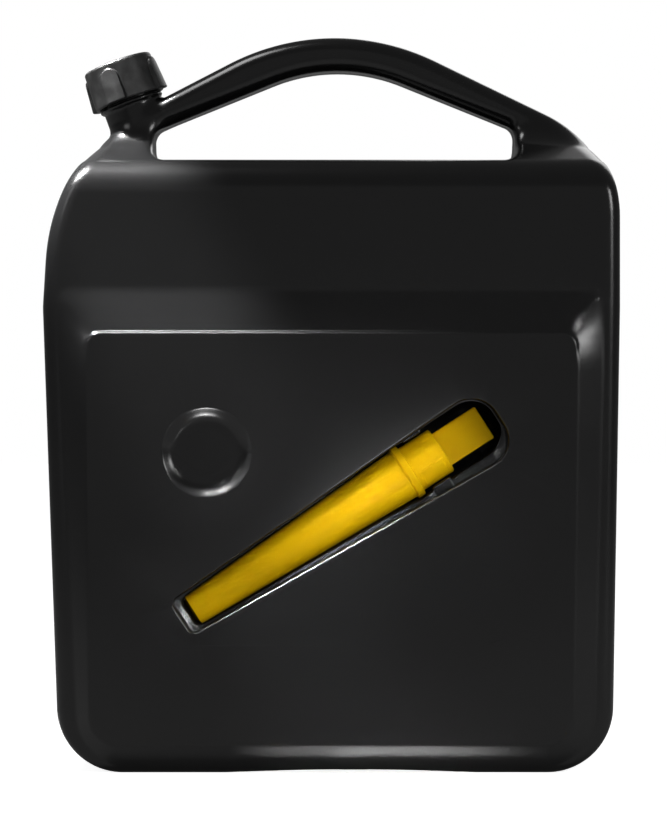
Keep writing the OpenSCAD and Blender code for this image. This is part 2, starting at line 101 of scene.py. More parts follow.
@dataclass(frozen=True)
class Outline:
    """A closed outline with rounded corners, anticlockwise, as (across, up, radius)."""

    corners: tuple[tuple[float, float, float], ...]

    def arcs(self) -> tuple[Array, Array, Array, Array, Array]:
        """Works out the corner arcs.

        Returns:
            Centres, radii, outward normals before and after each corner, and 1 for a corner that points
            out or -1.
        """
        c = np.array(self.corners, float)
        p, r = c[:, :2], c[:, 2]
        before, after = unit(np.roll(p, 1, 0) - p), unit(np.roll(p, -1, 0) - p)
        half = np.arccos(np.clip((before * after).sum(1), -1, 1)) / 2
        centre = p + unit(before + after) * (r / np.sin(half))[:, None]
        n0 = np.stack([-before[:, 1], before[:, 0]], 1)
        n1 = np.stack([after[:, 1], -after[:, 0]], 1)
        turn = np.sign(-before[:, 0] * after[:, 1] + before[:, 1] * after[:, 0])
        return centre, r, n0, n1, turn

    def distance(self, x: Array, z: Array) -> Array:
        """Signed distance to a convex outline.

        It is the largest distance to a side. Inside its fan, a corner's arc stands for its two sides.

        Args:
            x: Places across.
            z: Places up.

        Returns:
            Distances, negative inside.
        """
        centre, radius, n0, n1, _ = self.arcs()
        p = np.array(self.corners, float)[:, :2]
        x, z = np.broadcast_arrays(x, z)
        sides = np.stack([(x - q[0]) * n[0] + (z - q[1]) * n[1] for q, n in zip(p, n1)])
        d = sides.max(0)
        for i, (c, r, a, b) in enumerate(zip(centre, radius, n0, n1)):
            u, v = x - c[0], z - c[1]
            fan = (a[0] * v - a[1] * u >= 0) & (u * b[1] - v * b[0] >= 0)
            rest = np.delete(sides, [i, i - 1], 0).max(0)
            d = np.where(fan, np.maximum(np.hypot(u, v) - r, rest), d)
        return d

    def loop(self, steps: int, gap: float = 1e9) -> tuple[Array, Array]:
        """Points along the outline: arcs in equal turns, and sides cut into lengths of at most gap.

        Args:
            steps: Segments of each corner arc.
            gap: Longest straight segment.

        Returns:
            Points and outward normals, one row each.
        """
        centre, radius, n0, n1, turn = self.arcs()
        points, normals = [], []
        for i, (c, r, a, b, s) in enumerate(zip(centre, radius, n0, n1, turn)):
            start, end = math.atan2(a[1], a[0]), math.atan2(b[1], b[0])
            sweep = (end - start + math.pi) % (2 * math.pi) - math.pi
            t = start + sweep * np.linspace(0, 1, steps + 1)
            n = np.stack([np.cos(t), np.sin(t)], 1)
            points.append(c + s * r * n)
            normals.append(n)
            j = (i + 1) % len(centre)
            first, last = points[-1][-1], centre[j] + turn[j] * radius[j] * n0[j]
            cuts = max(1, math.ceil(np.linalg.norm(last - first) / gap))
            share = np.arange(1, cuts)[:, None] / cuts
            points.append(first + (last - first) * share)
            normals.append(np.repeat(b[None], cuts - 1, 0))
        return np.concatenate(points), np.concatenate(normals)


@dataclass
class MeshParts:
    """Vertices and faces that are gathered and then made one mesh."""

    points: list[Array] = field(default_factory=list)
    faces: list[list[int]] = field(default_factory=list)
    count: int = 0

    def add(self, points: Array, faces: Array | Sequence[Sequence[int]]) -> int:
        """Adds vertices with faces that count from them.

        Args:
            points: Vertices, one row each.
            faces: Faces by vertex, counted from the first of points.

        Returns:
            The number of the first vertex added.
        """
        first = self.count
        self.points.append(points.reshape(-1, 3))
        self.faces += (np.asarray(faces, int) + first).tolist() if len(faces) else []
        self.count += len(self.points[-1])
        return first

    def grid(self, rows: Array, around: bool = True, closed: bool = False) -> int:
        """Adds a grid of two parameters, rows by columns.

        Args:
            rows: Points, row by column by 3.
            around: Whether the columns close on themselves.
            closed: Whether the rows close on themselves too.

        Returns:
            The number of the first vertex added.
        """
        n, m = rows.shape[:2]
        i = np.arange(n if closed else n - 1)[:, None]
        j = np.arange(m if around else m - 1)[None]
        k, q = (i + 1) % n, (j + 1) % m
        quads = np.stack([i * m + j, i * m + q, k * m + q, k * m + j], -1).reshape(-1, 4)
        return self.add(rows, quads)

    def compact(self) -> None:
        """Drops the vertices that no face uses."""
        points = np.concatenate(self.points)
        used = np.zeros(len(points), bool)
        used[[i for face in self.faces for i in face]] = True
        number = np.cumsum(used) - 1
        self.points = [points[used]]
        self.faces = [[int(number[i]) for i in face] for face in self.faces]

    def mesh(self, name: str, sharp: float = 180.0) -> bpy.types.Object:
        """Makes the object: the vertices in metres, doubles merged and faces turned outwards.

        Args:
            name: The piece's name.
            sharp: Angle in degrees over which an edge stays sharp.

        Returns:
            The new object.
        """
        made = bpy.data.meshes.new(name)
        made.from_pydata((np.concatenate(self.points) * MM).tolist(), [], self.faces)
        obj = bpy.data.objects.new(name, made)
        bpy.context.scene.collection.objects.link(obj)
        bpy.context.view_layer.objects.active = obj
        tidy_mesh(made)
        made.shade_smooth()
        if sharp < 180:
            made.set_sharp_from_angle(angle=math.radians(sharp))
        return obj


def tidy_mesh(made: bpy.types.Mesh) -> None:
    """Merges doubles, drops faces without area and turns the faces outwards."""
    bm = bmesh.new()
    bm.from_mesh(made)
    bmesh.ops.remove_doubles(bm, verts=bm.verts, dist=WELD)
    bmesh.ops.dissolve_degenerate(bm, edges=bm.edges, dist=NO_LENGTH)
    bmesh.ops.recalc_face_normals(bm, faces=bm.faces)
    bm.to_mesh(made)
    bm.free()


def grid_piece(
    name: str, *grids: Array, around: bool = True, closed: bool = False, sharp: float = 180.0
) -> bpy.types.Object:
    """Makes one piece of grids of points.

    Args:
        name: The piece's name.
        *grids: Points, row by column by 3.
        around: Whether the columns close on themselves.
        closed: Whether the rows close on themselves too.
        sharp: Angle in degrees over which an edge stays sharp.

    Returns:
        The new object.
    """
    parts = MeshParts()
    for rows in grids:
        parts.grid(rows, around, closed)
    return parts.mesh(name, sharp)


def quarter(steps: int) -> Array:
    """Angles of a quarter turn."""
    return np.linspace(0, np.pi / 2, steps)


def full_turn(steps: int) -> Array:
    """Angles of a full turn, without its end."""
    return np.linspace(0, 2 * np.pi, steps, endpoint=False)


def revolve(profile: Array, columns: int) -> Array:
    """A profile (radius, along) turned round the Z axis: (r cos t, r sin t, along) for each turn t.

    Args:
        profile: Radius and place along the axis, one row each.
        columns: Places around.

    Returns:
        Points, row by column by 3.
    """
    t = full_turn(columns)
    r, h = profile[:, :1], profile[:, 1:]
    return np.stack([r * np.cos(t), r * np.sin(t), h + 0 * t], -1)


def cell_corner(values: Array, i: int, j: int, k: int) -> Array:
    """Each grid cell's value at one of its corners, where i, j and k are 0 or 1 along x, y and z."""
    nx, ny, nz = values.shape
    return values[i : nx - 1 + i, j : ny - 1 + j, k : nz - 1 + k]


def surface_net(
    distance: Callable[[Array, Array, Array], Array], lines: Sequence[Array]
) -> tuple[Array, Array]:
    """Closed surface where a distance function is zero: one vertex in each grid cell that it crosses.

    A vertex starts at the mean of the crossings on its cell's edges and is drawn onto the surface along
    the function's slope. Each grid edge that changes sign gives one face between its four cells.

    Args:
        distance: Signed distance at arrays of x, y and z.
        lines: Grid places along x, y and z.

    Returns:
        Vertices and quads.
    """
    xs, ys, zs = lines
    value = distance(xs[:, None, None], ys[None, :, None], zs[None, None, :])
    value = np.broadcast_to(value, (len(xs), len(ys), len(zs)))
    inside = value < 0
    bits = [(i, j, k) for i in (0, 1) for j in (0, 1) for k in (0, 1)]
    full = sum(cell_corner(inside, *b).astype(np.int8) for b in bits)
    cell = np.argwhere((full > 0) & (full < 8))
    number = np.full(full.shape, -1)
    number[tuple(cell.T)] = np.arange(len(cell))
    total, hits = np.zeros((len(cell), 3)), np.zeros((len(cell), 1))
    for b in bits:
        for axis in range(3):
            if b[axis]:
                continue
            lo = cell + b
            hi = lo.copy()
            hi[:, axis] += 1
            f0, f1 = value[tuple(lo.T)], value[tuple(hi.T)]
            cross = ((f0 < 0) != (f1 < 0))[:, None]
            share = np.where(cross[:, 0], f0 / np.where(f0 == f1, 1, f0 - f1), 0)[:, None]
            p0 = np.stack([xs[lo[:, 0]], ys[lo[:, 1]], zs[lo[:, 2]]], 1)
            p1 = np.stack([xs[hi[:, 0]], ys[hi[:, 1]], zs[hi[:, 2]]], 1)
            total += np.where(cross, p0 + share * (p1 - p0), 0)
            hits += cross
    points = total / np.maximum(hits, 1)
    for _ in range(NET_DRAWS):
        slope = gradient(distance, points)
        square = np.maximum((slope**2).sum(1, keepdims=True), LEAST_SLOPE)
        step = distance(*points.T)[:, None] * slope / square
        points = points - np.clip(step, -NET_REACH, NET_REACH)
    faces = []
    for axis in range(3):
        a, b = [i for i in range(3) if i != axis]
        low = np.take(inside, range(inside.shape[axis] - 1), axis)
        high = np.take(inside, range(1, inside.shape[axis]), axis)
        edge = np.argwhere(low != high)
        edge = edge[(edge[:, a] > 0) & (edge[:, b] > 0)]
        edge = edge[(edge[:, a] < inside.shape[a] - 1) & (edge[:, b] < inside.shape[b] - 1)]
        ring = []
        for da, db in ((-1, -1), (0, -1), (0, 0), (-1, 0)):
            c = edge.copy()
            c[:, a] += da
            c[:, b] += db
            ring.append(number[tuple(c.T)])
        quad = np.stack(ring, 1)
        flip = low[tuple(edge.T)] != (axis == 1)
        quad[~flip] = quad[~flip][:, ::-1]
        faces.append(quad)
    return points, np.concatenate(faces)


def gradient(distance: Callable[[Array, Array, Array], Array], points: Array) -> Array:
    """Slope of a distance function at points, by differences of SLOPE_STEP to both sides."""
    parts = []
    for axis in range(3):
        d = np.zeros(3)
        d[axis] = SLOPE_STEP
        parts.append((distance(*(points + d).T) - distance(*(points - d).T)) / (2 * SLOPE_STEP))
    return np.stack(parts, 1)


def spread(*runs: tuple[float, float]) -> Array:
    """Grid places: a start, and then runs (end, gap) that go on in steps of about gap."""
    places = [runs[0][0]]
    for end, gap in runs[1:]:
        n = max(1, round((end - places[-1]) / gap))
        places += list(places[-1] + (end - places[-1]) * np.arange(1, n + 1) / n)
    return np.array(places)


# ---------------------------------------------------------------- finishes


class Socket:
    """A shader socket that adds Math nodes when it is used in an expression."""

    def __init__(self, graph: "Graph", socket: Any) -> None:
        """Keeps the socket with the graph that it belongs to."""
        self.graph, self.socket = graph, socket

    def _with(self, operation: str, *values: Any) -> "Socket":
        """A Math node of this operation on the values."""
        return self.graph.math(operation, *values)

    def __add__(self, other: Any) -> "Socket":
        """Sum."""
        return self._with("ADD", self, other)

    def __radd__(self, other: Any) -> "Socket":
        """Sum, from the right."""
        return self._with("ADD", other, self)

    def __sub__(self, other: Any) -> "Socket":
        """Difference."""
        return self._with("SUBTRACT", self, other)

    def __rsub__(self, other: Any) -> "Socket":
        """Difference, from the right."""
        return self._with("SUBTRACT", other, self)

    def __mul__(self, other: Any) -> "Socket":
        """Product."""
        return self._with("MULTIPLY", self, other)

    def __rmul__(self, other: Any) -> "Socket":
        """Product, from the right."""
        return self._with("MULTIPLY", other, self)


class Graph:
    """The node tree of one material or world."""

    def __init__(self, tree: bpy.types.NodeTree) -> None:
        """Empties the tree."""
        self.tree = tree
        tree.nodes.clear()

    def node(self, kind: str, settings: dict[str, Any] | None = None, **values: Any) -> bpy.types.Node:
        """Adds a node.

        Args:
            kind: The node's type.
            settings: What is set on the node first; a ramp's stops go under "stops".
            **values: Values or links of its sockets, by name with _ for a space, or by number as _0.

        Returns:
            The node.
        """
        made = self.tree.nodes.new(kind)
        for key, value in (settings or {}).items():
            if key == "stops":
                ramp_stops = made.color_ramp.elements
                while len(ramp_stops) < len(value):
                    ramp_stops.new(0.5)
                for stop, (place, level) in zip(ramp_stops, value):
                    stop.position, stop.color = place, (level, level, level, 1)
            else:
                setattr(made, key, value)
        for key, value in values.items():
            name = int(key[1:]) if key.startswith("_") else key.replace("_", " ")
            target = made.inputs[name]
            if isinstance(value, Socket):
                self.tree.links.new(value.socket, target)
            elif value is not None:
                target.default_value = value
        return made

    def out(self, node: bpy.types.Node, name: str | int = 0) -> Socket:
        """A node's output as a Socket."""
        return Socket(self, node.outputs[name])

    def math(self, operation: str, *values: Any) -> Socket:
        """A Math node on up to three values."""
        numbered = {f"_{i}": v for i, v in enumerate(values)}
        return self.out(self.node("ShaderNodeMath", {"operation": operation}, **numbered))

    def ramp(self, value: Socket, low: float, high: float) -> Socket:
        """A colour ramp on a value, black at low and white at high."""
        stops = [(low, 0.0), (high, 1.0)]
        return self.out(self.node("ShaderNodeValToRGB", {"stops": stops}, Fac=value), "Color")

    def mix(self, factor: Any, a: tuple[float, ...], b: tuple[float, ...]) -> Socket:
        """A colour between a and b."""
        made = self.node("ShaderNodeMix", {"data_type": "RGBA"})
        for index, value in ((0, factor), (6, a), (7, b)):
            if isinstance(value, Socket):
                self.tree.links.new(value.socket, made.inputs[index])
            else:
                made.inputs[index].default_value = value
        return Socket(self, made.outputs[2])

    def noise(self, where: Socket, per_metre: float, detail: float = 2.0, rough: float = 0.5) -> Socket:
        """Noise with so many features a metre."""
        values = {"Vector": where, "Scale": per_metre, "Detail": detail, "Roughness": rough}
        made = self.node("ShaderNodeTexNoise", None, **values)
        return self.out(made, "Fac" if "Fac" in made.outputs else 0)

    def place(self, scale: tuple[float, float, float] = (1, 1, 1)) -> Socket:
        """Object coordinates through a Mapping node."""
        coordinates = self.out(self.node("ShaderNodeTexCoord"), "Object")
        return self.out(self.node("ShaderNodeMapping", None, Vector=coordinates, Scale=scale))


SPECKS_PER_METRE = 420.0
SCUFFS_PER_METRE = 260.0
SCUFF_STRETCH = (1.0, 1.0, 0.18)
RUB_FROM, RUB_TO = 0.50, 0.85
PATCH_FROM, PATCH_TO = 0.42, 0.72
RUB_SHARE, SPECK_SHARE = 0.3, 0.2


@dataclass(frozen=True)
class MouldedPlastic:
    """Moulded plastic: main and worn colour, gloss, and height in metres of its grain and waves.

    The worn colour shows in patches of patch_per_metre, by the share of mottle.
    """

    name: str
    colour: tuple[float, float, float, float]
    worn: tuple[float, float, float, float]
    roughness: float = 0.4
    gloss_spread: float = 0.1
    grain: float = 0.000004
    grain_per_metre: float = 1400.0
    wave: float = 0.0003
    wave_per_metre: float = 9.0
    specular: float = 0.5
    patch_per_metre: float = 22.0
    mottle: float = 0.1

    def material(self) -> bpy.types.Material:
        """Builds the node tree: mottled colour, uneven gloss, fine grain and long shallow waves."""
        made = bpy.data.materials.new(self.name)
        made.use_nodes = True
        g = Graph(made.node_tree)
        where = g.place()
        cloud = g.noise(where, self.patch_per_metre, 4.0, 0.6)
        speck = g.noise(where, SPECKS_PER_METRE, 3.0, 0.65)
        scuff = g.noise(g.place(SCUFF_STRETCH), SCUFFS_PER_METRE, 5.0, 0.7)
        rub = g.ramp(scuff, RUB_FROM, RUB_TO)
        patch = g.ramp(cloud, PATCH_FROM, PATCH_TO)
        wear = rub * patch * RUB_SHARE + speck * SPECK_SHARE + patch * self.mottle
        grain = g.noise(where, self.grain_per_metre, 2.0, 0.5)
        wave = g.noise(where, self.wave_per_metre, 1.0, 0.4)
        height = grain * self.grain + wave * self.wave
        bump = g.node("ShaderNodeBump", None, Strength=1.0, Distance=1.0, Height=height)
        shader = g.node(
            "ShaderNodeBsdfPrincipled",
            None,
            Base_Color=g.mix(wear, self.colour, self.worn),
            Roughness=self.roughness + (cloud - 0.5) * self.gloss_spread,
            Normal=g.out(bump, "Normal"),
            Specular_IOR_Level=self.specular,
        )
        out = g.node("ShaderNodeOutputMaterial")
        g.tree.links.new(shader.outputs[0], out.inputs[0])
        return made


CAN_FINISH = MouldedPlastic(
    "can_black", (0.0035, 0.0035, 0.0036, 1), (0.0070, 0.0070, 0.0072, 1), 0.22, 0.04
)
CAP_FINISH = MouldedPlastic(
    "cap_black",
    (0.002, 0.002, 0.002, 1),
    (0.050, 0.050, 0.050, 1),
    0.42,
    wave=0.00005,
    patch_per_metre=75.0,
    mottle=0.55,
)
LINER_FINISH = MouldedPlastic(
    "liner_foam", (0.52, 0.50, 0.45, 1), (0.44, 0.42, 0.37, 1), 0.75, grain=0.00005, wave=0.0
)
SPOUT_FINISH = MouldedPlastic(
    "spout_yellow",
    (0.80, 0.475, 0.002, 1),
    (0.74, 0.43, 0.003, 1),
    0.34,
    grain=0.000003,
    wave=0.00006,
    wave_per_metre=16.0,
    specular=0.05,
)


class Slot(Enum):
    """The record's material slots."""

    CAN = "can"
    CAP = "cap"
    LINER = "liner"
    SPOUT = "spout"


@dataclass
class Dresser:
    """Gives each piece its material, slot and body, and reports it."""

    finishes: dict[Slot, bpy.types.Material]

    def dress(
        self, piece: bpy.types.Object, slot: Slot, body: str, stands_for: Sequence[str] = ()
    ) -> None:
        """Finishes one piece.

        Args:
            piece: The object.
            slot: The record's material slot.
            body: The body that it rides on.
            stands_for: CAD nodes that it replaces.
        """
        piece.data.materials.clear()
        piece.data.materials.append(self.finishes[slot])
        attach(piece, body)
        if stands_for:
            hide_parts(*stands_for)
        triangles = sum(len(p.vertices) - 2 for p in piece.data.polygons)
        LOG.info("%s rides on %s, %d triangles", piece.name, body, triangles)


# ---------------------------------------------------------------- spout frame


@dataclass(frozen=True)
class SpoutPlace:
    """Where the spout lies: its tip and the two angles of its axis."""

    tip: tuple[float, float, float] = (-89.0, -70.35, 104.5)
    rise: float = 32.8
    dip: float = 2.872

    def matrix(self) -> Array:
        """Columns: down across the front, to the back, and along the spout."""
        b, d = math.radians(90 - self.rise), math.radians(self.dip)
        turn = np.array([[math.cos(b), 0, math.sin(b)], [0, 1, 0], [-math.sin(b), 0, math.cos(b)]])
        lean = np.array([[1, 0, 0], [0, math.cos(d), math.sin(d)], [0, -math.sin(d), math.cos(d)]])
        return turn @ lean

    def world(self, local: Array) -> Array:
        """Points of the spout's frame in the can's frame."""
        return local @ self.matrix().T + np.array(self.tip)

    def plan(self, along: Array, across: Array) -> Array:
        """Places on the front plane, as x and z, from places along and across the spout."""
        r = math.radians(self.rise)
        d = math.cos(math.radians(self.dip))
        x = self.tip[0] + along * d * math.cos(r) + across * math.sin(r)
        z = self.tip[2] + along * d * math.sin(r) - across * math.cos(r)
        return np.stack([x, z], -1)

    def depth(self, along: Array) -> Array:
        """Y of the spout's axis."""
        return self.tip[1] + along * math.sin(math.radians(self.dip))


@dataclass(frozen=True)
class NeckPlace:
    """The neck's axis: a point at the cap's lower edge, and its tilt to the left."""

    at: tuple[float, float, float] = (-133.8, 0.0, 439.3)
    tilt: float = 20.0

    def world(self, local: Array) -> Array:
        """Points of the neck's frame in the can's frame."""
        t = math.radians(self.tilt)
        turn = np.array([[math.cos(t), 0, -math.sin(t)], [0, 1, 0], [math.sin(t), 0, math.cos(t)]])
        return local @ turn.T + np.array(self.at)


SPOUT_PLACE = SpoutPlace()
NECK_PLACE = NeckPlace()


# ---------------------------------------------------------------- the can


@dataclass
class CanBody:
    """The moulded can: one skin with its handle, panels, pillar, round recess and spout pocket."""

    half_w: float = 186.5
    height: float = 480.0
    half_d: float = 73.0
    rise: float = 9.5
    edge: float = 9.5
    base_edge: float = 4.0
    ledge: float = 1.6
    ledge_in: float = -0.4
    ledge_w: float = 2.2
    ledge_from: float = 262.0
    ledge_run: float = 18.0
    panel_soft: tuple[float, float] = (0.10, 0.06)
    foot: float = 43.0
    shoulder: tuple[float, float] = (390.0, 24.0)
    root: tuple[float, float] = (412.0, 22.0)
    handle_half: float = 17.0
    deck: float = 396.0
    arch: tuple[float, float, float] = (13.0, 80.0, 2.0)
    pillar_r: float = 19.5
    pillar_top: float = -1.0
    pillar_foot: float = -40.0
    pillar_blend: float = 5.0
    ring_r: float = 21.5
    ring_low: float = -3.5
    ring_edge: float = 0.8
    grip_edge: float = 2.0
    grip_edge_run: float = 27.0
    bore_r: float = 16.2
    bore_low: float = -14.0
    passage_r: float = 13.5
    passage_end: tuple[float, float] = (-140.0, 385.0)
    dish_at: tuple[float, float] = (-80.0, 206.5)
    dish_rim: float = 28.5
    rim_r: float = 1.5
    pocket_ends: tuple[float, float] = (-8.5, 233.0)
    pocket_tip: tuple[float, float] = (12.75, 4.0)
    pocket_wide: tuple[float, float, float] = (27.0, -21.2, 18.4)
    pocket_foot_r: float = 0.6
    pocket_draft: float = 0.3
    ledge_slope: float = 15.0
    ledge_least: float = 4.5
    cradle_run: tuple[float, float] = (3.5, 214.0)
    cradle_tip: float = 4.7
    cradle: tuple[tuple[float, float], ...] = ((0.0, 10.45), (157.0, 17.25), (160.0, 18.75))
    panel_hole: tuple[float, float, float, float] = (-147.0, 30.0, 147.0, 274.0)

    outline: Outline = Outline(
        (
            (181.5, 0.0, 43.0),
            (186.5, 300.0, 43.0),
            (186.5, 407.8, 78.0),
            (0.0, 498.0, 152.0),
            (-128.0, 431.65, 28.5),
            (-181.5, 382.0, 130.0),
            (-186.5, 300.0, 43.0),
            (-176.0, 0.0, 43.0),
        )
    )
    grip: Outline = Outline(
        (
            (121.0, 396.0, 9.0),
            (121.0, 419.1, 9.0),
            (4.0, 466.37, 113.0),
            (-117.5, 417.3, 9.0),
            (-117.5, 396.0, 9.0),
        )
    )
    panel_top: Outline = Outline(
        ((154.9, 18.0, 20.0), (158.0, 284.0, 9.5), (-158.0, 284.0, 9.5), (-154.9, 18.0, 20.0))
    )
    panel_foot: Outline = Outline(
        ((168.9, 4.05, 33.5), (177.0, 311.0, 9.5), (-177.0, 311.0, 9.5), (-163.4, 4.05, 33.5))
    )

    def half_depth(self, z: Array) -> Array:
        """Half depth by height: straight, rounded shoulder, slope, hollow and the handle's side."""
        (za, ra), (zb, rb) = self.shoulder, self.root
        a, b = np.array([self.half_d, za]), np.array([self.handle_half, zb])
        d = (b - a) / np.linalg.norm(b - a)
        half = math.acos(-d[1]) / 2
        la, lb = ra / math.tan(half), rb / math.tan(half)
        pa, pb = a + d * la, b - d * lb
        bulge = self.half_d - ra + np.sqrt(np.maximum(ra**2 - np.maximum(z - (za - la), 0) ** 2, 0))
        slope = pa[0] + (z - pa[1]) * d[0] / d[1]
        hollow = self.handle_half + rb - np.sqrt(np.maximum(rb**2 - (z - (zb + lb)) ** 2, 0))
        return np.select([z < pa[1], z < pb[1], z < zb + lb], [bulge, slope, hollow], self.handle_half)

    def plateau(self, x: Array, z: Array) -> Array:
        """Height of the panel: the share of the way from its foot to its top outline, with soft ends."""
        low, high = self.panel_foot.distance(x, z), self.panel_top.distance(x, z)
        share = -low / np.maximum(high - low, 1e-6)
        sheet = ramp(share, self.panel_soft[0]) - ramp(share - 1, self.panel_soft[1])
        upper = smooth((z - self.ledge_from) / self.ledge_run)
        step = smooth(0.5 - (high - self.ledge_in) / self.ledge_w) * upper * smooth((share - 0.5) * 4)
        return (self.rise - self.ledge) * sheet + self.ledge * (step + (1 - upper) * sheet)

    def neck_parts(self, x: Array, y: Array, z: Array) -> tuple[Array, Array]:
        """Distance from the neck's axis and place along it."""
        t = math.radians(NECK_PLACE.tilt)
        dx, dz = x - NECK_PLACE.at[0], z - NECK_PLACE.at[2]
        along = -dx * math.sin(t) + dz * math.cos(t)
        across = dx * math.cos(t) + dz * math.sin(t)
        return np.hypot(across, y), along

    def distance(self, x: Array, y: Array, z: Array) -> Array:
        """Signed distance to the skin without pocket and recess.

        The outline and the two faces meet in a rounded edge, the pillar joins with a hollow, and the grip
        hole, the arch under the base and the bore are taken away.
        """
        edge = self.base_edge + (self.edge - self.base_edge) * np.clip(z / self.foot, 0, 1)
        depth = self.half_depth(z)
        near = 0.25
        steep = (self.half_depth(z + near) - self.half_depth(z - near)) / (2 * near)
        faces = (np.abs(y) - depth - self.plateau(x, z)) / np.sqrt(1 + steep**2)
        body = round_max(self.outline.distance(x, z), faces, edge)
        radius, along = self.neck_parts(x, y, z)
        above = along - self.pillar_top
        pillar = np.maximum(np.maximum(radius - self.pillar_r, above), self.pillar_foot - along)
        body = round_min(body, pillar, self.pillar_blend)
        ring = round_max(
            radius - self.ring_r, np.maximum(above, self.ring_low - along), self.ring_edge
        )
        body = round_min(body, ring, self.ring_edge)
        rim_rise = np.clip((z - self.deck) / self.grip_edge_run, 0, 1)
        rim = self.grip_edge + (self.edge - self.grip_edge) * rim_rise
        body = round_max(body, -self.grip.distance(x, z), rim)
        ax, aw, ah = self.arch
        body = np.maximum(body, ah * (1 - ((x - ax) / aw) ** 2) - z)
        bore = np.maximum(radius - self.bore_r, self.bore_low - along)
        tilt = math.radians(NECK_PLACE.tilt)
        sx = NECK_PLACE.at[0] - (self.bore_low + 1) * math.sin(tilt)
        sz = NECK_PLACE.at[2] + (self.bore_low + 1) * math.cos(tilt)
        ex, ez = self.passage_end[0] - sx, self.passage_end[1] - sz
        share = np.clip(((x - sx) * ex + (z - sz) * ez) / (ex**2 + ez**2), 0, 1)
        way = np.sqrt((x - sx - share * ex) ** 2 + y**2 + (z - sz - share * ez) ** 2) - self.passage_r
        return np.maximum(body, -np.minimum(bore, way))

    def pocket_outline(self) -> Outline:
        """The pocket's wall on the front plane: a tapered slot, square at the tip and round at the wide end."""
        low, high = self.pocket_ends
        half, tip_r = self.pocket_tip
        under, over, wide_r = self.pocket_wide
        corners = ((low, half, tip_r), (high, under, wide_r), (high, over, wide_r), (low, -half, tip_r))
        return Outline(
            tuple((*map(float, SPOUT_PLACE.plan(np.array(s), np.array(b))), r) for s, b, r in corners)
        )

    def pocket(self) -> Array:
        """Rows of the pocket: rim fillet, wall with draft, foot fillet, sloping ledge and round cradle.

        A cradle row lies at r cos t from the axis across and r sin t behind it. Round the two ends the
        rows turn about the ends of the cradle's middle line, and at the tip they drop more steeply.
        """
        wall, normal = self.pocket_outline().loop(10, 5.0)
        face = -(self.half_d + self.rise)
        none, one = np.array(0.0), np.array(1.0)
        a = SPOUT_PLACE.plan(one, none) - SPOUT_PLACE.plan(none, none)
        a = a / np.linalg.norm(a)
        tip = np.array([SPOUT_PLACE.tip[0], SPOUT_PLACE.tip[2]])
        along = (wall - tip) @ a
        depth = SPOUT_PLACE.depth(along)
        foot_r, draft = self.pocket_foot_r, self.pocket_draft
        ledge = wall - normal * (draft + foot_r)
        s = np.clip((ledge - tip) @ a, *self.cradle_run)
        middle = tip + s[:, None] * a
        cradle = np.interp(s, *zip(*self.cradle))
        way = unit(ledge - middle)
        end = np.minimum(way @ a, 0) ** 2
        gap = np.linalg.norm(ledge - middle, axis=1)
        reach = np.minimum(cradle * (1 - end) + self.cradle_tip * end, gap - 0.2)
        edge = middle + way * reach[:, None]
        fall = math.tan(math.radians(self.ledge_slope))
        low = np.maximum(depth - fall * (gap - reach), face + self.ledge_least)
        rows = []
        for t in quarter(6):
            out = self.rim_r * (1 - np.sin(t))
            y = np.full(len(wall), face + self.rim_r * (1 - np.cos(t)))
            rows.append((wall + normal * out, y))
        top = face + self.rim_r
        for share in (0.25, 0.5, 0.75, 1.0):
            rows.append((wall - normal * draft * share, top + (low - foot_r - top) * share))
        for t in quarter(5)[1:]:
            inward = draft + foot_r * (1 - np.cos(t))
            rows.append((wall - normal * inward, low - foot_r * (1 - np.sin(t))))
        for share in (0.2, 0.5, 0.8):
            rows.append((ledge + (edge - ledge) * share, low + (depth - low) * share))
        for t in np.linspace(0.02, np.pi / 2, 18):
            p = middle + way * (reach * np.cos(t) ** (1 - 0.8 * end))[:, None]
            rows.append((p, SPOUT_PLACE.depth((p - tip) @ a) + cradle * np.sin(t)))
        return np.stack([np.stack([p[:, 0], y, p[:, 1]], 1) for p, y in rows])

    def dish(self) -> Array:
        """Rows of the round recess: (radius, depth) turned about its centre on the front."""
        profile = np.array(
            [
                (29.7, 0.0), (29.2, 0.03), (28.7, 0.14), (28.2, 0.36), (27.6, 0.75),
                (26.0, 1.9), (24.4, 3.0), (22.8, 3.85), (21.2, 4.3),
                (19.8, 4.5), (12.0, 4.5), (5.0, 4.5), (0.0, 4.5),
            ]
        )  # fmt: skip
        t = full_turn(128)
        r, d = profile[:, :1], profile[:, 1:]
        x = self.dish_at[0] + r * np.cos(t)
        z = self.dish_at[1] + r * np.sin(t)
        return np.stack([x, -(self.half_d + self.rise) + d + 0 * t, z], -1)

    def lines(self) -> list[Array]:
        """Grid places, close where the skin turns and wide where it is flat."""
        x = spread((-190, 0), (-146, 1.7), (-108, 1.9), (108, 4.2), (146, 1.9), (190, 1.7))
        half = spread((0, 0), (10, 2.5), (24, 1.5), (60, 4.0), (76, 1.5), (85, 1.3))
        y = np.concatenate([-half[:0:-1], half])
        low = ((-3.1, 0), (26, 1.45), (272, 5.5), (281, 1.2), (288, 0.5))
        z = spread(*low, (317, 1.7), (372, 4.0), (484, 1.7))
        return [x, y, z]

